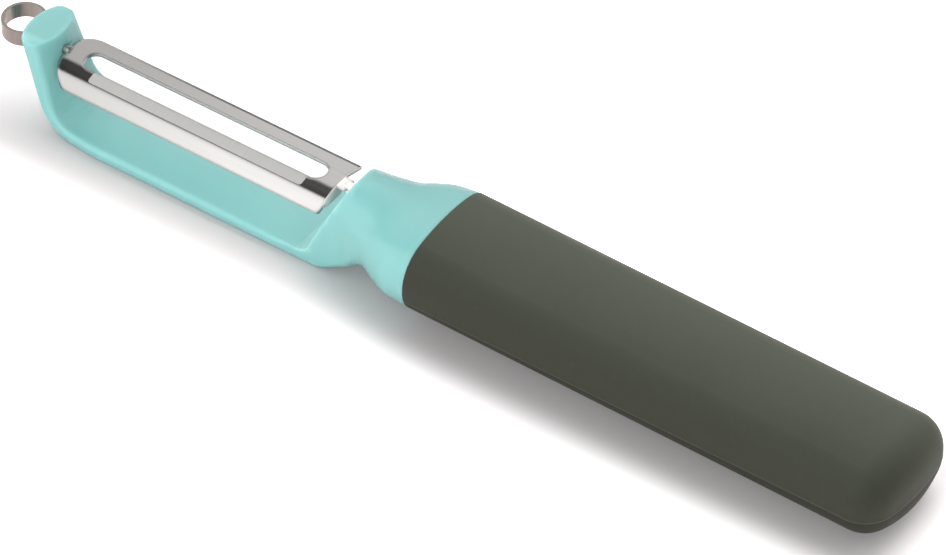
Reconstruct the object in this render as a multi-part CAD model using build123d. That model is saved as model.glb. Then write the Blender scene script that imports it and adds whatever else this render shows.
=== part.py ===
import math
import os

from build123d import *

# A straight swivel peeler. +X runs from the tip to the grip's end, +Z is up, and the blade is
# on top. The origin is on the table, under the middle of the whole length. Millimetres.

# How far cutting shapes run past what they cut
overrun = 5.0

# Grip: a soft sleeve moulded round the tail of the hard frame
grip_length = 101.6
grip_width = 26.9
grip_end_width = 26.6
grip_front_lift = 1.8
grip_front_thickness = 16.6
grip_end_thickness = 17.1
grip_side_flat = 0.7
grip_corner_radius = 7.25
grip_end_radius = 6.6
grip_end_crown_radius = 42.0
grip_wall = 2.6
grip_end_wall = 4.5

# Keying windows through the tail, which the soft material fills
window_length = 14.0
window_width = 6.0
window_pitch = 26.0
window_count = 3
tail_end_radius = 4.0

# Arm: the flat strip that joins the tip post to the neck, under the blade
arm_width = 17.6
arm_thickness = 2.4
arm_lower_radius = 0.6
arm_upper_radius = 1.0

# Neck: from the arm up to the grip. Each station has its reach in front of the grip
neck_side_flat = 0.7
neck_crest_height = 18.1
neck_crest_reach = 18.5
neck_front_lean = 24.0
neck_foot_radius = 3.0
neck_root_reach = 31.0
neck_ramp_reach = 23.5
neck_flank_radius = 30.0
neck_throat_reach = 17.5
neck_throat_width = 17.2
neck_throat_rise = 2.0
neck_throat_radius = 2.0
neck_waist_reach = 12.5
neck_waist_width = 19.2
neck_waist_rise = 3.3
neck_waist_height = 18.0
neck_waist_side_share = 0.44
neck_waist_lower_radius = 5.6
neck_waist_upper_radius = 6.0
neck_bulge_reach = 8.6
neck_bulge_width = 23.0
neck_bulge_rise = 2.5
neck_bulge_height = 17.7
neck_bulge_side_share = 0.48
neck_bulge_radius = 6.4
neck_shoulder_reach = 4.5
neck_shoulder_width = 26.2
neck_shoulder_rise = 2.0
neck_shoulder_height = 17.9
neck_shoulder_side_share = 0.5
neck_shoulder_radius = 6.8
neck_steps = 4

# Tip post: rises from the arm's front end and leans outwards
post_height = 18.2
post_lean = 18.0
post_bend_radius = 7.0
post_top_width = 12.1
post_top_thickness = 7.1
# How the post thickens and narrows on its way up
post_thickening_power = 1.3
post_narrowing_power = 1.3
post_run_in = 5.3
post_top_reach = 90.2
post_outer_round_share = 0.73
post_outer_depth_share = 0.46
post_inner_round_share = 0.54
post_inner_depth_share = 0.42
post_bend_stations = 9
post_top_round = 0.4
post_trim = 1.4

# Swivel blade: one slotted steel strip with a round pin at each end
pivot_height = 14.4
blade_post_gap = 0.5
blade_neck_gap = 2.95
blade_thickness = 0.6
blade_crown_half = 2.0
far_flange_length = 4.05
far_flange_slope = 16.5
near_strip_length = 1.9
near_strip_slope = 15.0
near_bend_radius = 1.6
near_flank_slope = 55.0
near_flank_length = 2.45
crown_bend_radius = 1.5
blade_far_corner = 3.6
blade_near_front_corner = 5.0
blade_near_rear_corner = 1.9
slot_width = 4.5
slot_front_margin = 4.2
slot_rear_margin = 3.4
end_wall_depth = 2.6
tab_width = 2.9
tab_length = 1.8
pin_diameter = 1.9
pin_running_gap = 0.08
front_pin_depth = 2.6
rear_pin_depth = 5.0
pin_end_gap = 0.4

# Swing stop: a flat paddle on the rear pin, in a bow-tie pocket in the neck
swing_limit = 40.0
swing_margin = 1.5
paddle_width = 4.6
paddle_thickness = 1.0
paddle_length = 1.6
pocket_gap = 0.15
pocket_depth = 2.4

# Eye remover: a steel strip bent into a loop, its legs set in the tip post
loop_outer_radius = 4.4
loop_strip_thickness = 0.6
loop_strip_height = 3.2
loop_top_drop = 0.9
loop_leg_angle = 55.0
loop_ring_offset = 5.4
loop_leg_depth = 1.3

# Places along the length
overall_length = grip_length + post_top_reach + loop_ring_offset + loop_outer_radius
grip_front_x = overall_length / 2 - grip_length
post_top_x = grip_front_x - post_top_reach


def crown_joint(half_width, rise, radius):
    """Where a side arc of this radius meets the broad arc that closes it off at this rise."""
    if math.isclose(rise, radius):
        return half_width - radius, rise
    broad = ((half_width - radius) ** 2 + rise**2 - radius**2) / (2 * (rise - radius))
    run, drop = half_width - radius, broad - rise
    span = math.hypot(run, drop)
    if broad > radius:
        return broad * run / span, rise - broad + broad * drop / span
    return run - radius * run / span, -radius * drop / span


def outline_points(half_width, bottom, side_low, side_high, top, low_radius, high_radius):
    """One side of a crowned, round-cornered, flat-sided section, as points from its bottom up."""

    def corner(level, direction, rise, radius):
        join_x, join_rise = crown_joint(half_width, rise, radius)
        centre = half_width - radius
        half_turn = math.atan2(join_rise, join_x - centre) / 2
        middle_x = centre + radius * math.cos(half_turn)
        middle_rise = radius * math.sin(half_turn)
        return (join_x, level + direction * join_rise), (middle_x, level + direction * middle_rise)

    low_joint, low_middle = corner(side_low, -1, side_low - bottom, low_radius)
    high_joint, high_middle = corner(side_high, 1, top - side_high, high_radius)
    low_side, high_side = (half_width, side_low), (half_width, side_high)
    return [(0, bottom), low_joint, low_middle, low_side, high_side, high_middle, high_joint, (0, top)]


def outline(points):
    """Face of the closed section that has these points on one side and mirrors them on the other."""
    low, low_joint, low_middle, low_side, high_side, high_middle, high_joint, high = points

    def opposite(point):
        return -point[0], point[1]

    def cap(joint, crest):
        if math.isclose(joint[1], crest[1]):
            return Line(opposite(joint), joint)
        return ThreePointArc(opposite(joint), crest, joint)

    edges = [
        cap(low_joint, low),
        ThreePointArc(low_joint, low_middle, low_side),
        Line(low_side, high_side),
        ThreePointArc(high_side, high_middle, high_joint),
        cap(high_joint, high),
        ThreePointArc(opposite(high_side), opposite(high_middle), opposite(high_joint)),
        Line(opposite(low_side), opposite(high_side)),
        ThreePointArc(opposite(low_side), opposite(low_middle), opposite(low_joint)),
    ]
    return make_face(edges)


def across(x):
    """Plane square to the length at x, its local x across the peeler and its local y up."""
    return Plane(origin=(x, 0, 0), x_dir=(0, 1, 0), z_dir=(1, 0, 0))


def grip_points(share, inset=0.0):
    """Half outline of the grip at a share of its length from its front, drawn in by an inset."""
    half_width = (grip_width + (grip_end_width - grip_width) * share) / 2 - inset
    bottom = grip_front_lift * (1 - share) + inset
    thickness = grip_front_thickness + (grip_end_thickness - grip_front_thickness) * share
    top = bottom + thickness - 2 * inset
    middle = (bottom + top) / 2
    radius = grip_corner_radius - inset
    low, high = middle - grip_side_flat / 2, middle + grip_side_flat / 2
    return outline_points(half_width, bottom, low, high, top, radius, radius)


def grip_section(share, inset=0.0):
    return across(grip_front_x + share * grip_length) * outline(grip_points(share, inset))


def rear_edges(solid):
    """Edges round a solid's face furthest along +X."""
    return solid.faces().sort_by(Axis.X)[-1].edges()


def crowned_end(solid, end_x, middle_height, crown_radius, edge_radius):
    """The solid with its rear end crowned to a ball of this radius, and its rim rounded."""
    ball = Pos(end_x - crown_radius, 0, middle_height) * Sphere(crown_radius)
    reach = 2 * crown_radius
    keep = Pos(end_x - crown_radius - reach / 2, 0, middle_height) * Box(reach, reach, reach)
    crowned = solid & (ball + keep)
    return fillet(rear_edges(crowned), edge_radius)


def make_grip_blank():
    blank = loft([grip_section(0), grip_section(1)], ruled=True)
    end_x = grip_front_x + grip_length
    return crowned_end(blank, end_x, grip_end_thickness / 2, grip_end_crown_radius, grip_end_radius)


def make_tail():
    """Hidden tail of the frame: the sleeve's inner form, with its keying windows."""
    end_share = 1 - grip_end_wall / grip_length
    tail = loft([grip_section(0, grip_wall), grip_section(end_share, grip_wall)], ruled=True)
    tail = fillet(rear_edges(tail), tail_end_radius)
    middle = grip_front_x + grip_length / 2
    for place in range(window_count):
        x = middle + (place - (window_count - 1) / 2) * window_pitch
        window = extrude(Pos(x, 0, 0) * SlotOverall(window_length, window_width), overall_length)
        tail -= window
    return tail


def neck_points(width, rise, height, side_share, lower_radius, upper_radius):
    """Half outline of a rounded neck section, widest at a share of its height."""
    side = rise + (height - rise) * side_share
    low, high = side - neck_side_flat / 2, side + neck_side_flat / 2
    return outline_points(width / 2, rise, low, high, height, lower_radius, upper_radius)


def neck_stations():
    """Reach in front of the grip, and half outline, of each of the neck's sections."""
    side = arm_thickness - arm_upper_radius
    half = arm_width / 2
    arm = outline_points(
        half, 0, arm_lower_radius, side, arm_thickness, arm_lower_radius, arm_upper_radius
    )
    arch = outline_points(
        half, 0, arm_lower_radius, side, neck_crest_height, arm_lower_radius, neck_flank_radius
    )
    throat_side = neck_throat_rise + neck_throat_radius
    throat = outline_points(
        neck_throat_width / 2,
        neck_throat_rise,
        throat_side,
        throat_side + neck_side_flat,
        neck_crest_height,
        neck_throat_radius,
        neck_flank_radius,
    )
    waist = neck_points(
        neck_waist_width,
        neck_waist_rise,
        neck_waist_height,
        neck_waist_side_share,
        neck_waist_lower_radius,
        neck_waist_upper_radius,
    )
    bulge = neck_points(
        neck_bulge_width,
        neck_bulge_rise,
        neck_bulge_height,
        neck_bulge_side_share,
        neck_bulge_radius,
        neck_bulge_radius,
    )
    shoulder = neck_points(
        neck_shoulder_width,
        neck_shoulder_rise,
        neck_shoulder_height,
        neck_shoulder_side_share,
        neck_shoulder_radius,
        neck_shoulder_radius,
    )
    return [
        (neck_root_reach, arm),
        (neck_ramp_reach, arch),
        (neck_throat_reach, throat),
        (neck_waist_reach, waist),
        (neck_bulge_reach, bulge),
        (neck_shoulder_reach, shoulder),
        (0, grip_points(0)),
    ]


def station_slopes(reaches, values):
    """Slope of a smooth curve at each station: level at its start, its peaks and its hollows."""
    sides = []
    for place in range(len(reaches) - 1):
        sides.append((values[place + 1] - values[place]) / (reaches[place + 1] - reaches[place]))
    slopes = [0]
    for before, after in zip(sides, sides[1:]):
        turns = before * after <= 0
        slopes.append(0 if turns else 2 * before * after / (before + after))
    slopes.append(sides[-1])
    return slopes


def smooth_values(reaches, values):
    """Values at the stations and at the steps between them, on a smooth curve through them."""
    slopes = station_slopes(reaches, values)
    smooth = [values[0]]
    for place in range(len(reaches) - 1):
        run = reaches[place + 1] - reaches[place]
        for step in range(neck_steps):
            share = (step + 1) / neck_steps
            left = 1 - share
            level = values[place] * left**2 * (1 + 2 * share)
            level += values[place + 1] * share**2 * (1 + 2 * left)
            level += slopes[place] * run * share * left**2
            level -= slopes[place + 1] * run * share**2 * left
            smooth.append(level)
    return smooth


def neck_sections():
    """Sections of the neck from the arm to the grip, with steps between its stations."""
    stations = neck_stations()
    reaches = [reach for reach, points in stations]
    numbers = [[number for point in points for number in point] for reach, points in stations]
    curves = [smooth_values(reaches, column) for column in zip(*numbers)]
    faces = []
    for place, row in enumerate(zip(*curves)):
        station, step = divmod(place, neck_steps)
        reach = reaches[station]
        if step:
            reach += (reaches[station + 1] - reach) * step / neck_steps
        points = list(zip(row[::2], row[1::2]))
        faces.append(across(grip_front_x - reach) * outline(points))
    return faces


def make_neck():
    """Block that grows out of the arm, draws in to a waist and flares to meet the grip."""
    neck = loft(neck_sections(), ruled=True)

    # The neck's front face leans back, and forms the rear wall of the yoke's gap
    high = neck_crest_height + overrun
    start_x = grip_front_x - neck_root_reach - overrun
    foot = (neck_face_x(arm_thickness), arm_thickness)
    front = [(start_x, arm_thickness), foot, (neck_face_x(high), high), (start_x, high)]
    gap = make_face(Polyline(*front, close=True))
    gap = fillet(gap.vertices().sort_by_distance((*foot, 0))[0], neck_foot_radius)
    return neck - extrude(Plane.XZ * gap, arm_width, both=True)


def post_stations():
    """Places along the post's middle line: distance along it, x, height and angle turned."""
    turn = math.radians(90 - post_lean)
    bend_length = post_bend_radius * turn
    middle = arm_thickness / 2
    bend_top = middle + post_bend_radius * (1 - math.cos(turn))
    rise_length = (post_height + post_trim - bend_top) / math.sin(turn)
    lean_run = (post_height - bend_top) / math.tan(turn)
    bend_start_x = post_top_x + lean_run + post_bend_radius * math.sin(turn)
    places = [(0, bend_start_x + post_run_in, middle, 0)]
    for step in range(post_bend_stations):
        angle = turn * step / (post_bend_stations - 1)
        x = bend_start_x - post_bend_radius * math.sin(angle)
        height = middle + post_bend_radius * (1 - math.cos(angle))
        places.append((post_run_in + post_bend_radius * angle, x, height, angle))
    x = bend_start_x - post_bend_radius * math.sin(turn) - rise_length * math.cos(turn)
    distance = post_run_in + bend_length + rise_length
    places.append((distance, x, bend_top + rise_length * math.sin(turn), turn))
    return places


def post_thickness(distance, whole_length):
    """Thickness of the post at a distance along its middle line; it grows from the bend on."""
    rising_share = max(0, distance - post_run_in) / (whole_length - post_run_in)
    return arm_thickness + (post_top_thickness - arm_thickness) * rising_share**post_thickening_power


def make_post():
    """Arm and tip post: one strip that bends up and thickens, cut level at its top."""
    places = post_stations()
    whole_length = places[-1][0]

    def section(distance):
        share = distance / whole_length

        def grow(start, end):
            return start + (end - start) * share

        narrowing = math.sin(share * math.pi / 2) ** post_narrowing_power
        width = arm_width + (post_top_width - arm_width) * narrowing
        thickness = post_thickness(distance, whole_length)
        outer_depth = thickness * grow(arm_lower_radius / arm_thickness, post_outer_depth_share)
        inner_depth = thickness * grow(arm_upper_radius / arm_thickness, post_inner_depth_share)
        points = outline_points(
            width / 2,
            -thickness / 2,
            -thickness / 2 + outer_depth,
            thickness / 2 - inner_depth,
            thickness / 2,
            outer_depth * grow(1, post_outer_round_share),
            inner_depth * grow(1, post_inner_round_share),
        )
        return outline(points)

    faces = []
    for distance, x, height, angle in places:
        heading = (-math.cos(angle), 0, math.sin(angle))
        plane = Plane(origin=(x, 0, height), x_dir=(0, -1, 0), z_dir=heading)
        faces.append(plane * section(distance))
    rise = loft(faces[-2:], ruled=True)
    trim = Pos(post_top_x, 0, post_height + overrun) * Box(overrun * 4, post_top_width * 2, overrun * 2)
    rise -= trim
    rise = fillet(rise.faces().sort_by(Axis.Z)[-1].edges(), post_top_round)
    arm_end_x = grip_front_x - neck_ramp_reach
    arm = extrude(faces[0], places[0][1] - arm_end_x)
    post = loft(faces[:2], ruled=True) + loft(faces[1:-1], ruled=True) + rise
    return post, arm


def strip_half(side, crown_half, bends):
    """Half of the blade's bent section from its middle out, and how far out its edge reaches."""
    half = blade_thickness / 2
    slope, across_at, up_at = 0.0, 0.0, 0.0

    def offset(distance):
        return (
            side * (across_at + distance * math.sin(slope)),
            up_at + distance * math.cos(slope),
        )

    edges = []
    start = (offset(half), offset(-half))
    edges.append(Line(*start))

    def straight(length):
        nonlocal across_at, up_at
        upper, lower = offset(half), offset(-half)
        across_at += length * math.cos(slope)
        up_at -= length * math.sin(slope)
        edges.append(Line(upper, offset(half)))
        edges.append(Line(lower, offset(-half)))

    def bend(new_slope, radius):
        nonlocal across_at, up_at, slope
        centre_across = across_at - radius * math.sin(slope)
        centre_up = up_at - radius * math.cos(slope)
        slopes = (slope, (slope + new_slope) / 2, new_slope)
        for distance in (radius + half, radius - half):
            points = [
                (side * (centre_across + distance * math.sin(a)), centre_up + distance * math.cos(a))
                for a in slopes
            ]
            edges.append(ThreePointArc(*points))
        slope = new_slope
        across_at = centre_across + radius * math.sin(slope)
        up_at = centre_up + radius * math.cos(slope)

    straight(crown_half)
    for new_slope, radius, length in bends:
        bend(math.radians(new_slope), radius)
        straight(length)
    edges.append(Line(offset(half), offset(-half)))
    return make_face(edges), across_at + half * math.sin(slope)


def along(start_x, end_x, section):
    """Solid with this section, drawn round the blade's pivot line, between two places along X."""
    plane = Plane(origin=(start_x, 0, pivot_height), x_dir=(0, 1, 0), z_dir=(1, 0, 0))
    return extrude(plane * section, end_x - start_x)


def neck_face_x(height):
    lean_run = math.tan(math.radians(neck_front_lean))
    return grip_front_x - neck_crest_reach - (neck_crest_height - height) * lean_run


def post_face_x(height):
    """Where the post's blade-side face crosses the middle plane at this height."""
    places = post_stations()
    whole_length = places[-1][0]
    turn = math.radians(90 - post_lean)
    middle_x = post_top_x + (post_height - height) / math.tan(turn)
    end_distance, end_x, end_height, end_angle = places[-1]
    distance = end_distance - (end_height - height) / math.sin(turn)
    return middle_x + post_thickness(distance, whole_length) / 2 / math.sin(turn)


def blade_ends():
    """Where the blade's strip begins and ends, clear of the post and of the neck."""
    return post_face_x(pivot_height) + blade_post_gap, neck_face_x(pivot_height) - blade_neck_gap


def make_blade():
    front_x, rear_x = blade_ends()
    far_bends = [(far_flange_slope, crown_bend_radius, far_flange_length)]
    near_bends = [
        (near_strip_slope, crown_bend_radius, near_strip_length),
        (near_flank_slope, near_bend_radius, near_flank_length),
    ]
    far_half, far_reach = strip_half(1, blade_crown_half, far_bends)
    near_half, near_reach = strip_half(-1, blade_crown_half, near_bends)
    strip = along(front_x, rear_x, far_half) + along(front_x, rear_x, near_half)
    # The strip's rear end is drawn down to a small wall that closes the guide flank
    wall_reach = near_reach - blade_near_rear_corner
    drop = (wall_reach - blade_crown_half) * math.tan(math.radians(near_strip_slope))
    wall = [(0, 0), (-blade_crown_half, 0), (-wall_reach, -drop)]
    wall += [(-wall_reach, -end_wall_depth), (0, -end_wall_depth)]
    strip += along(rear_x - blade_thickness, rear_x, make_face(Polyline(*wall, close=True)))

    length = rear_x - front_x
    width = far_reach + near_reach
    plan = Pos((front_x + rear_x) / 2, far_reach - width / 2) * Rectangle(length, width)
    near_front = plan.vertices().sort_by(Axis.Y)[:2].sort_by(Axis.X)[0]
    plan = fillet(near_front, blade_near_front_corner)
    near_rear = plan.vertices().sort_by(Axis.Y)[:2].sort_by(Axis.X)[-1]
    plan = fillet(near_rear, blade_near_rear_corner)
    far_front = plan.vertices().sort_by(Axis.Y)[-2:].sort_by(Axis.X)[0]
    plan = fillet(far_front, blade_far_corner)
    slot_length = length - slot_front_margin - slot_rear_margin
    slot_x = (front_x + slot_front_margin + rear_x - slot_rear_margin) / 2
    plan -= Pos(slot_x, 0) * SlotOverall(slot_length, slot_width)
    blade = strip & extrude(plan, pivot_height * 2)

    pin = Circle(pin_diameter / 2)
    front_pin_end = post_face_x(pivot_height) - front_pin_depth
    rear_pin_end = neck_face_x(pivot_height) + rear_pin_depth
    blade += along(front_pin_end, front_x + blade_thickness, pin)
    blade += along(rear_x - blade_thickness, rear_x + tab_length, Rectangle(tab_width, blade_thickness))
    blade += along(rear_x + tab_length - blade_thickness, rear_pin_end, pin)
    paddle_end = neck_face_x(pivot_height) + pocket_depth - pin_end_gap
    blade += along(paddle_end - paddle_length, paddle_end, Rectangle(paddle_width, paddle_thickness))
    return blade


def stop_pocket_section():
    """Bow-tie opening in which the paddle turns, and which stops it at the swing limit."""
    reach = paddle_width / 2 + pocket_gap
    room = Rectangle(2 * reach + overrun, paddle_thickness + 2 * pocket_gap)
    limit = swing_limit + swing_margin
    spread = (reach + overrun) * math.tan(math.radians(limit))
    wedge = Polyline((0, 0), (reach + overrun, spread), (reach + overrun, -spread), close=True)
    wedge = make_face(wedge)
    bow = Rot(0, 0, limit) * room + Rot(0, 0, -limit) * room + wedge + mirror(wedge, Plane.YZ)
    return bow & Circle(reach)


def make_loop():
    ring_x = post_top_x - loop_ring_offset
    middle_radius = loop_outer_radius - loop_strip_thickness / 2
    angle = math.radians(loop_leg_angle)
    leg_y = middle_radius * math.sin(angle)
    leg_start_x = ring_x + middle_radius * math.cos(angle)
    leg_end_x = post_top_x + loop_leg_depth
    ring = Circle(loop_outer_radius) - Circle(loop_outer_radius - loop_strip_thickness)
    opening = Pos(leg_start_x - ring_x + loop_outer_radius, 0) * Rectangle(
        2 * loop_outer_radius, 2 * loop_outer_radius
    )
    band = Pos(ring_x, 0) * (ring - opening)
    for side in (1, -1):
        leg = Rectangle(leg_end_x - leg_start_x, loop_strip_thickness)
        band += Pos((leg_start_x + leg_end_x) / 2, side * leg_y) * leg
    low = post_height - loop_top_drop - loop_strip_height
    return extrude(Pos(0, 0, low) * band, loop_strip_height)


def make_head_frame(tail, loop):
    post, arm = make_post()
    neck = make_neck()
    frame = neck + arm + post + tail
    bore = Circle(pin_diameter / 2 + pin_running_gap)
    front_bore_end = post_face_x(pivot_height) - front_pin_depth - pin_end_gap
    front_x, rear_x = blade_ends()
    frame -= along(front_bore_end, front_x, bore)
    face_x = neck_face_x(pivot_height)
    frame -= along(rear_x, face_x + rear_pin_depth + pin_end_gap, bore)
    frame -= along(rear_x, face_x + pocket_depth, stop_pocket_section())
    return frame - loop


def main():
    os.makedirs("parts", exist_ok=True)
    tail = make_tail()
    loop = make_loop()
    nodes = {
        "head_frame": make_head_frame(tail, loop),
        "grip_sleeve": make_grip_blank() - tail,
        "swivel_blade": make_blade(),
        "eye_remover_loop": loop,
    }
    for name, shape in nodes.items():
        export_step(shape, f"parts/{name}.step")


main()
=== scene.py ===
import math

import bmesh
import bpy
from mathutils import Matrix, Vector


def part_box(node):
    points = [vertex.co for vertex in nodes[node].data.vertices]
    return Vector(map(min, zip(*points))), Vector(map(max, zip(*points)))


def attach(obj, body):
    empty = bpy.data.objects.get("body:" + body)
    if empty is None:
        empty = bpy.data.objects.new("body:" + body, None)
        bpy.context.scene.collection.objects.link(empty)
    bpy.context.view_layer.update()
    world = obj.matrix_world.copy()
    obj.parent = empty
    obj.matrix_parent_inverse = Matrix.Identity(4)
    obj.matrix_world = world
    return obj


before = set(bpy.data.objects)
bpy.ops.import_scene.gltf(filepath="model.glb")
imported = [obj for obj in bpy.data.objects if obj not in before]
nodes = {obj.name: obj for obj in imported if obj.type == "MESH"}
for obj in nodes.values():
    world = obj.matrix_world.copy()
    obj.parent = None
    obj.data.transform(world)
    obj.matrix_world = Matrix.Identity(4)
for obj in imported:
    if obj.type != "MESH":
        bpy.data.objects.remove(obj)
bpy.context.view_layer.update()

# Sizes and places, in metres
GRIP_LOW, GRIP_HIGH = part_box("grip_sleeve")
BLADE_LOW, BLADE_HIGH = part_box("swivel_blade")
# The grip's parting line: its height, its bead's radius and how far the bead is set in
PARTING_HEIGHT = 0.0077
PARTING_BEAD = 0.00014
PARTING_INSET = 0.0001
# Its sides: the points on each, where they start, and how near in x the grip is measured for each
PARTING_SIDE_POINTS = 9
PARTING_START = 0.0002
PARTING_SEARCH = 0.004
# Its rounded end: the length, and the degrees of turn between points
PARTING_END_LENGTH = 0.02
PARTING_TURN = 1.5
# The matte ground band on the blade's near side, which keeps off the blade's underside
GROUND_X = (-0.0784, -0.0298)
GROUND_Y = (-0.0046, -0.00225)
GROUND_CORNER = 0.0006
BLADE_UNDERSIDE = 0.0137
# Where the blade's pale rear end starts, and the painted dark reflection, a dark line, inside the far
# edge
BLADE_REAR = -0.0239
FAR_DARK_REFLECTION_Y = (BLADE_HIGH.y - 0.0008, BLADE_HIGH.y - 0.00045)
# Edges are shaded as if rounded by these radii
PLASTIC_ROUNDING = 0.0004
STEEL_ROUNDING = 0.0009
# The strip light that hides under the blade
STRIP_HEIGHT = 0.0118
STRIP_WIDTH = 0.008
STRIP_END_GAP = 0.007
# The floor's painted glow turns it plain white, hiding the shadow's far tail, between these distances
# from the peeler's middle line, which reaches AXIS_HALF each way
SHADOW_END = (0.0125, 0.027)
AXIS_HALF = 0.085
FLOOR_GLOW = 0.16
FLOOR_HALF = 6.0
FLOOR_DROP = 0.00005


def linear(red, green, blue):
    """Linear colour of an sRGB one given in 0 to 255."""
    def one(value):
        value /= 255
        return value / 12.92 if value <= 0.04045 else ((value + 0.055) / 1.055) ** 2.4

    return one(red), one(green), one(blue), 1


class Nodes:
    """Short way to build a material's or a world's node tree."""

    def __init__(self, tree):
        self.tree = tree
        tree.nodes.clear()

    def link(self, source, target):
        self.tree.links.new(source, target)

    def math(self, operation, first, second=None, clamp=False):
        node = self.tree.nodes.new("ShaderNodeMath")
        node.operation = operation
        node.use_clamp = clamp
        for index, value in enumerate((first, second)):
            if value is None:
                continue
            if isinstance(value, (int, float)):
                node.inputs[index].default_value = value
            else:
                self.link(value, node.inputs[index])
        return node.outputs[0]

    def scaled(self, vector, scale):
        node = self.tree.nodes.new("ShaderNodeMapping")
        node.inputs["Scale"].default_value = scale
        self.link(vector, node.inputs["Vector"])
        return node.outputs[0]

    def noise(self, vector, scale, detail=4.0, roughness=0.5):
        node = self.tree.nodes.new("ShaderNodeTexNoise")
        node.inputs["Scale"].default_value = scale
        node.inputs["Detail"].default_value = detail
        node.inputs["Roughness"].default_value = roughness
        self.link(vector, node.inputs["Vector"])
        return node.outputs["Fac"]

    def span(self, value, low, high, to_low, to_high, smooth=False):
        node = self.tree.nodes.new("ShaderNodeMapRange")
        node.interpolation_type = "SMOOTHSTEP" if smooth else "LINEAR"
        limits = {"From Min": low, "From Max": high, "To Min": to_low, "To Max": to_high}
        for name, number in limits.items():
            node.inputs[name].default_value = number
        self.link(value, node.inputs["Value"])
        return node.outputs["Result"]

    def mix(self, factor, first, second):
        node = self.tree.nodes.new("ShaderNodeMix")
        node.data_type = "RGBA"
        self.link(factor, node.inputs["Factor"])
        for index, value in ((6, first), (7, second)):
            if isinstance(value, tuple):
                node.inputs[index].default_value = value
            else:
                self.link(value, node.inputs[index])
        return node.outputs[2]

    def bump(self, height, strength, distance, normal=None):
        node = self.tree.nodes.new("ShaderNodeBump")
        node.inputs["Strength"].default_value = strength
        node.inputs["Distance"].default_value = distance
        self.link(height, node.inputs["Height"])
        if normal is not None:
            self.link(normal, node.inputs["Normal"])
        return node.outputs["Normal"]

    def edges(self, low, high):
        """1 on convex edges and 0 on flats."""
        geometry = self.tree.nodes.new("ShaderNodeNewGeometry")
        return self.span(geometry.outputs["Pointiness"], low, high, 0, 1, smooth=True)

    def place(self, output="Object"):
        return self.tree.nodes.new("ShaderNodeTexCoord").outputs[output]

    def split(self, vector):
        node = self.tree.nodes.new("ShaderNodeSeparateXYZ")
        self.link(vector, node.inputs[0])
        return node.outputs

    def beyond(self, value, low, high, corner):
        """How far a value lies outside a span that is drawn in by a corner radius at each end."""
        off_middle = self.math("ABSOLUTE", self.math("SUBTRACT", value, (low + high) / 2))
        return self.math("MAXIMUM", self.math("SUBTRACT", off_middle, (high - low) / 2 - corner), 0.0)

    def soft_edges(self, radius):
        node = self.tree.nodes.new("ShaderNodeBevel")
        node.samples = 6
        node.inputs["Radius"].default_value = radius
        return node.outputs["Normal"]

    def shader(self, **values):
        node = self.tree.nodes.new("ShaderNodeBsdfPrincipled")
        for name, value in values.items():
            node.inputs[name.replace("_", " ")].default_value = value
        output = self.tree.nodes.new("ShaderNodeOutputMaterial")
        self.link(node.outputs[0], output.inputs["Surface"])
        return node


def material(name):
    made = bpy.data.materials.new(name)
    made.use_nodes = True
    return made, Nodes(made.node_tree)


def teal_plastic():
    """Satin moulded plastic that lets a little light in."""
    made, n = material("frame_plastic")
    place = n.place()
    broad = n.noise(place, 60, 2)
    fine = n.noise(place, 2600, 3)
    shader = n.shader(
        Specular_IOR_Level=0.6,
        Subsurface_Weight=0.7,
        Subsurface_Radius=(1, 1, 1),
        Subsurface_Scale=0.004,
    )
    base = n.mix(broad, linear(109, 159, 157), linear(113, 164, 162))
    # Convex edges are lighter: light wear, and also a painted edge highlight
    worn_and_highlit_edges = n.mix(n.edges(0.53, 0.6), base, linear(127, 174, 172))
    n.link(worn_and_highlit_edges, shader.inputs["Base Color"])
    n.link(n.span(fine, 0.2, 0.8, 0.2, 0.26), shader.inputs["Roughness"])
    n.link(n.bump(fine, 0.1, 0.00002, n.soft_edges(PLASTIC_ROUNDING)), shader.inputs["Normal"])
    return made


def soft_grip():
    """Matte rubber with dust specks, a painted highlight along the parting line and painted shade on
    the half below it.
    """
    made, n = material("grip_rubber")
    place = n.place()
    broad = n.noise(place, 45, 3)
    grain = n.noise(place, 5200, 5, 0.7)
    speck = n.noise(place, 900, 2)
    shader = n.shader(Roughness=0.55, Specular_IOR_Level=0.33)
    base = n.mix(broad, linear(74, 78, 65), linear(82, 86, 72))
    dust = n.mix(n.span(speck, 0.6, 0.8, 0, 0.35), base, linear(88, 90, 82))
    height = n.split(place)[2]
    # Painted shade: the rubber is darkened below the parting line, where the lower half turns from
    # the light
    shade_below_parting = n.span(height, PARTING_HEIGHT - 0.0004, PARTING_HEIGHT - 0.0001, 0.6, 0)
    rubber_with_lower_shade = n.mix(shade_below_parting, dust, linear(52, 52, 44))
    # Painted highlight: a lighter band along the parting line's ridge
    off_line = n.math("ABSOLUTE", n.math("SUBTRACT", height, PARTING_HEIGHT))
    parting_highlight = n.span(off_line, 0.00004, 0.00016, 0.8, 0, smooth=True)
    n.link(n.mix(parting_highlight, rubber_with_lower_shade, linear(118, 118, 102)), shader.inputs["Base Color"])
    n.link(n.span(broad, 0.3, 0.7, 0.5, 0.6), shader.inputs["Roughness"])
    n.link(n.bump(grain, 0.3, 0.00003), shader.inputs["Normal"])
    return made


def loop_steel():
    """Satin strip with upright brush marks."""
    made, n = material("loop_steel")
    place = n.place()
    streaks = n.noise(n.scaled(place, (3000, 3000, 60)), 1, 5, 0.6)
    shader = n.shader(Metallic=1.0)
    n.link(n.mix(streaks, linear(140, 126, 120), linear(184, 174, 168)), shader.inputs["Base Color"])
    n.link(n.span(streaks, 0.3, 0.7, 0.16, 0.26), shader.inputs["Roughness"])
    n.link(n.bump(streaks, 0.2, 0.00001), shader.inputs["Normal"])
    return made


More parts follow.
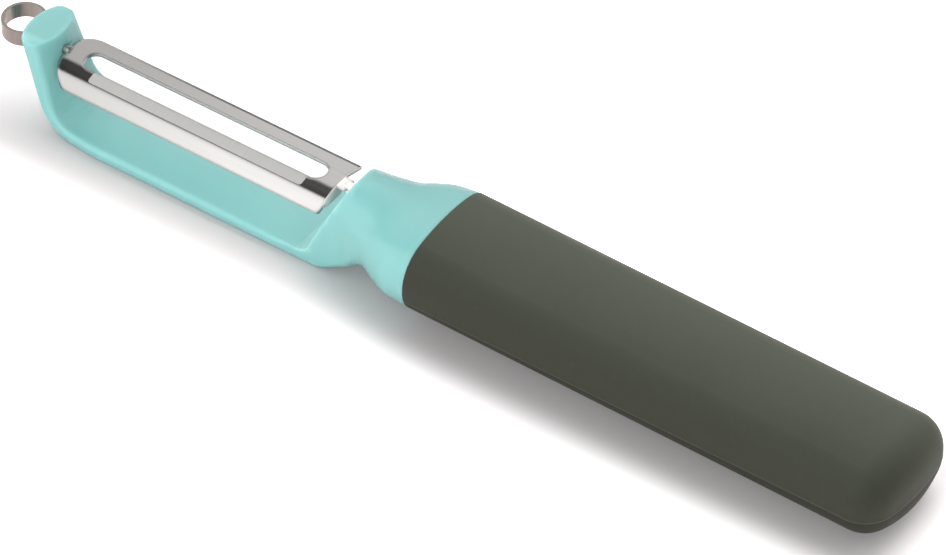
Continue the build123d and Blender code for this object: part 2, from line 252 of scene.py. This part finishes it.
def blade_steel():
    """Brushed strip with a matte ground band beside the slot, a painted dark reflection as a dark
    line inside the far edge, and a painted darker reflection towards the front end.
    """
    made, n = material("blade_steel")
    place = n.place()
    x, y, z = n.split(place)
    streaks = n.noise(n.scaled(place, (90, 5200, 5200)), 1, 5, 0.6)
    grinding = n.noise(n.scaled(place, (3200, 260, 260)), 1, 4, 0.6)
    cloud = n.noise(place, 140, 3)

    off_x = n.beyond(x, *GROUND_X, GROUND_CORNER)
    off_y = n.beyond(y, *GROUND_Y, GROUND_CORNER)
    off = n.math("SQRT", n.math("ADD", n.math("POWER", off_x, 2.0), n.math("POWER", off_y, 2.0)))
    ground = n.span(off, GROUND_CORNER - 0.00008, GROUND_CORNER + 0.00008, 1, 0, smooth=True)
    above = n.span(z, BLADE_UNDERSIDE, BLADE_UNDERSIDE + 0.0002, 0, 1)
    ground = n.math("MULTIPLY", ground, above)

    # Painted dark reflection: a dark line just inside the far edge, fainter towards the front end
    line = n.span(y, *FAR_DARK_REFLECTION_Y, 0, 1, smooth=True)
    line = n.math("MULTIPLY", line, n.span(x, BLADE_LOW.x + 0.01, BLADE_LOW.x + 0.03, 0.1, 0.9))

    # Brush streaks vary the polished tone, and a painted darker reflection darkens it towards the
    # front end
    streaks_and_front_reflection = n.math("MULTIPLY", n.span(streaks, 0.3, 0.7, 0.75, 1), n.span(x, -0.08, -0.04, 0.2, 1))
    polished = n.mix(streaks_and_front_reflection, linear(180, 178, 176), linear(210, 208, 206))
    matte = n.mix(grinding, linear(150, 149, 147), linear(165, 164, 162))
    base = n.mix(ground, polished, matte)
    base = n.mix(line, base, linear(70, 68, 66))
    shader = n.shader()
    sheared = n.span(x, BLADE_REAR - 0.0002, BLADE_REAR - 0.00005, 0, 1)
    base = n.mix(sheared, base, linear(222, 213, 210))
    n.link(base, shader.inputs["Base Color"])
    dull = n.math("MAXIMUM", ground, sheared)
    n.link(n.span(dull, 0, 1, 1, 0.25), shader.inputs["Metallic"])
    brushed = n.math("ADD", n.span(streaks, 0.3, 0.7, 0.14, 0.2), n.span(cloud, 0.4, 0.7, 0, 0.03))
    n.link(n.math("MAXIMUM", brushed, n.math("MULTIPLY", dull, 0.45)), shader.inputs["Roughness"])
    texture = n.math("ADD", n.math("MULTIPLY", streaks, 0.3), n.math("MULTIPLY", ground, grinding))
    n.link(n.bump(texture, 0.15, 0.00001, n.soft_edges(STEEL_ROUNDING)), shader.inputs["Normal"])
    return made


def assign(node, made):
    data = nodes[node].data
    for index in range(max(1, len(data.materials))):
        if index < len(data.materials):
            data.materials[index] = made
        else:
            data.materials.append(made)


assign("head_frame", teal_plastic())
assign("grip_sleeve", soft_grip())
assign("swivel_blade", blade_steel())
assign("eye_remover_loop", loop_steel())

grip_material = nodes["grip_sleeve"].data.materials[0]


def parting_line():
    """The mould's parting line round the grip: a fine raised bead below the middle of its sides."""
    mesh = bmesh.new()
    mesh.from_mesh(nodes["grip_sleeve"].data)
    cut = bmesh.ops.bisect_plane(
        mesh,
        geom=mesh.verts[:] + mesh.edges[:] + mesh.faces[:],
        plane_co=Vector((0, 0, PARTING_HEIGHT)),
        plane_no=Vector((0, 0, 1)),
        clear_inner=True,
        clear_outer=True,
    )
    points = [v.co.copy() for v in cut["geom_cut"] if isinstance(v, bmesh.types.BMVert)]
    mesh.free()
    centre = Vector((GRIP_HIGH.x - PARTING_END_LENGTH, 0, PARTING_HEIGHT))
    far_off = {}
    for point in points:
        turn = round(math.degrees(math.atan2(point.y, point.x - centre.x)) / PARTING_TURN)
        reach = (point - centre).length
        if point.x > centre.x and reach > far_off.get(turn, (0, None))[0]:
            far_off[turn] = (reach, point)
    side = max(abs(p.y) for p in points)
    end = [far_off[turn][1] for turn in sorted(far_off)]
    near_side, far_side = [], []
    for index in range(PARTING_SIDE_POINTS):
        x = GRIP_LOW.x + PARTING_START + (centre.x - GRIP_LOW.x) * index / PARTING_SIDE_POINTS
        at = [p for p in points if abs(p.x - x) < PARTING_SEARCH]
        reach = max(abs(p.y) for p in at) if at else side
        near_side.append(Vector((x, -reach, PARTING_HEIGHT)))
        far_side.append(Vector((x, reach, PARTING_HEIGHT)))
    line = near_side + end + far_side[::-1]
    for point in line:
        inward = Vector((min(point.x, centre.x), 0, PARTING_HEIGHT)) - point
        point += inward.normalized() * PARTING_INSET
        point.x = min(point.x, GRIP_HIGH.x - PARTING_BEAD)
    curve = bpy.data.curves.new("grip_parting_line", "CURVE")
    curve.dimensions = "3D"
    curve.bevel_depth = PARTING_BEAD
    curve.bevel_resolution = 2
    spline = curve.splines.new("POLY")
    spline.points.add(len(line) - 1)
    for spot, point in zip(spline.points, line):
        spot.co = (*point, 1)
    bead = bpy.data.objects.new("grip_parting_line", curve)
    bpy.context.scene.collection.objects.link(bead)
    curve.materials.append(grip_material)
    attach(bead, "frame")
    return bead


parting_line()


# Stage: a pale floor that holds the shadow, and soft studio light from behind and above
def floor_material():
    made, n = material("floor")
    output = n.tree.nodes.new("ShaderNodeOutputMaterial")
    diffuse = n.tree.nodes.new("ShaderNodeBsdfDiffuse")
    diffuse.inputs["Color"].default_value = (0.9, 0.85, 0.85, 1)
    glow = n.tree.nodes.new("ShaderNodeEmission")
    path = n.tree.nodes.new("ShaderNodeLightPath")
    mirrored = n.math("MAXIMUM", path.outputs["Is Glossy Ray"], path.outputs["Is Transmission Ray"])
    mirrored = n.math("MULTIPLY", mirrored, FLOOR_GLOW)
    # The floor's glow for the camera grows away from the peeler and paints out the far tail of its
    # shadow
    x, y, z = n.split(n.place())
    past_end = n.math("SUBTRACT", n.math("ABSOLUTE", x), AXIS_HALF)
    away = n.math("MAXIMUM", n.math("ABSOLUTE", y), past_end)
    level = n.span(away, *SHADOW_END, FLOOR_GLOW, 1.0, smooth=True)
    seen = n.math("MULTIPLY", path.outputs["Is Camera Ray"], level)
    n.link(n.math("MAXIMUM", seen, mirrored), glow.inputs["Strength"])
    both = n.tree.nodes.new("ShaderNodeAddShader")
    n.link(diffuse.outputs[0], both.inputs[0])
    n.link(glow.outputs[0], both.inputs[1])
    n.link(both.outputs[0], output.inputs["Surface"])
    return made


corners = [(-FLOOR_HALF, -FLOOR_HALF, 0), (FLOOR_HALF, -FLOOR_HALF, 0)]
corners += [(FLOOR_HALF, FLOOR_HALF, 0), (-FLOOR_HALF, FLOOR_HALF, 0)]
floor_mesh = bpy.data.meshes.new("floor")
floor_mesh.from_pydata(corners, [], [(0, 1, 2, 3)])
floor = bpy.data.objects.new("floor", floor_mesh)
floor.location.z = -FLOOR_DROP
floor_mesh.materials.append(floor_material())
bpy.context.scene.collection.objects.link(floor)

world = bpy.data.worlds.new("studio")
bpy.context.scene.world = world
world.use_nodes = True
w = Nodes(world.node_tree)
# Light by its angle over the peeler, from the far horizon over the top to the near one.
# Polished parts mirror a pale wall behind, a dark ceiling and a bright window in front.
MIRRORED = [(0, 0.82), (54, 0.84), (66, 0.5), (75, 0.04), (104, 0.04), (119, 1.3), (180, 1.6)]
# Everything else is lit by a broad soft wall of light behind, and faintly from the front.
LIT = [(0, 0.25), (25, 0.4), (35, 2.6), (67, 2.6), (82, 0.5), (105, 0.45), (180, 0.35)]
x, y, z = w.split(w.place("Generated"))
turned = w.span(w.math("ARCTAN2", z, y), 0, math.pi, 0, 1)
# The light is dimmer beyond the grip's end
dimmer = w.span(x, 0.1, 0.9, 1, 0.25)


def by_angle(levels):
    ramp = w.tree.nodes.new("ShaderNodeValToRGB")
    while len(ramp.color_ramp.elements) < len(levels):
        ramp.color_ramp.elements.new(0.5)
    # The stops are coloured once all of them stand in their order
    for stop, (angle, level) in zip(ramp.color_ramp.elements, levels):
        stop.position = angle / 180
    for stop, (angle, level) in zip(ramp.color_ramp.elements, levels):
        stop.color = (level, level, level, 1)
    w.link(turned, ramp.inputs["Fac"])
    node = background(1.0)
    w.link(ramp.outputs["Color"], node.inputs["Color"])
    w.link(dimmer, node.inputs["Strength"])
    return node


def background(strength):
    node = w.tree.nodes.new("ShaderNodeBackground")
    node.inputs["Color"].default_value = (1, 1, 1, 1)
    node.inputs["Strength"].default_value = strength
    return node


def choose(factor, first, second):
    node = w.tree.nodes.new("ShaderNodeMixShader")
    w.link(factor, node.inputs["Fac"])
    w.link(first.outputs[0], node.inputs[1])
    w.link(second.outputs[0], node.inputs[2])
    return node


path = w.tree.nodes.new("ShaderNodeLightPath")
sky = choose(path.outputs["Is Glossy Ray"], by_angle(LIT), by_angle(MIRRORED))
sky = choose(path.outputs["Is Camera Ray"], sky, background(1.0))
w.link(sky.outputs[0], w.tree.nodes.new("ShaderNodeOutputWorld").inputs["Surface"])


def lamp(name, place, size, power, aim=(0, 0, 0.005)):
    light = bpy.data.lights.new(name, "AREA")
    light.shape = "RECTANGLE"
    light.size, light.size_y = size
    light.energy = power
    made = bpy.data.objects.new(name, light)
    made.location = place
    made.rotation_mode = "QUATERNION"
    made.rotation_quaternion = (Vector(aim) - Vector(place)).to_track_quat("-Z", "Y")
    made.visible_glossy = False
    bpy.context.scene.collection.objects.link(made)
    return made


lamp("key", (-0.08, 0.5, 0.55), (0.6, 0.4), 1.0)
# Three fills lift the hard parts' near sides and leave the floor's shadow as it is
lifted = bpy.data.collections.new("lifted")
for name in ("head_frame", "swivel_blade", "eye_remover_loop"):
    lifted.objects.link(nodes[name])
fills = {
    "fill_left": ((-0.65, -0.75, 0.14), 7.5),
    "fill_right": ((0.7, -0.65, 0.14), 8.5),
    "fill_front": ((0, -0.5, 0.5), 4.5),
}
for name, (place, power) in fills.items():
    fill = lamp(name, place, (0.6, 0.6), power)
    fill.light_linking.receiver_collection = lifted
# A faint strip hidden under the blade lifts the arm's top and the ends that face the blade
strip_size = (BLADE_HIGH.x - BLADE_LOW.x - 2 * STRIP_END_GAP, STRIP_WIDTH)
strip_middle = (BLADE_HIGH.x + BLADE_LOW.x) / 2
strip_aim = (strip_middle, 0, 0)
strip = lamp("fill_under_blade", (strip_middle, 0, STRIP_HEIGHT), strip_size, 0.0016, strip_aim)
strip.visible_camera = False
strip.light_linking.receiver_collection = lifted

# Camera, at the photograph's viewing angle
AZIMUTH, ELEVATION = math.radians(35.101), math.radians(43.973)
TARGET = Vector((0.005319, 0, 0.006649))
DISTANCE = 1.25817
back = Vector((
    math.sin(AZIMUTH) * math.cos(ELEVATION),
    -math.cos(AZIMUTH) * math.cos(ELEVATION),
    math.sin(ELEVATION),
))
camera_data = bpy.data.cameras.new("camera")
camera_data.sensor_width = 36
camera_data.lens = 265.18
camera_data.clip_start, camera_data.clip_end = 0.05, 30
camera = bpy.data.objects.new("camera", camera_data)
camera.location = TARGET + back * DISTANCE
camera.rotation_mode = "QUATERNION"
camera.rotation_quaternion = (-back).to_track_quat("-Z", "Y")
bpy.context.scene.collection.objects.link(camera)
bpy.context.scene.camera = camera
bpy.context.scene.view_settings.view_transform = "Standard"
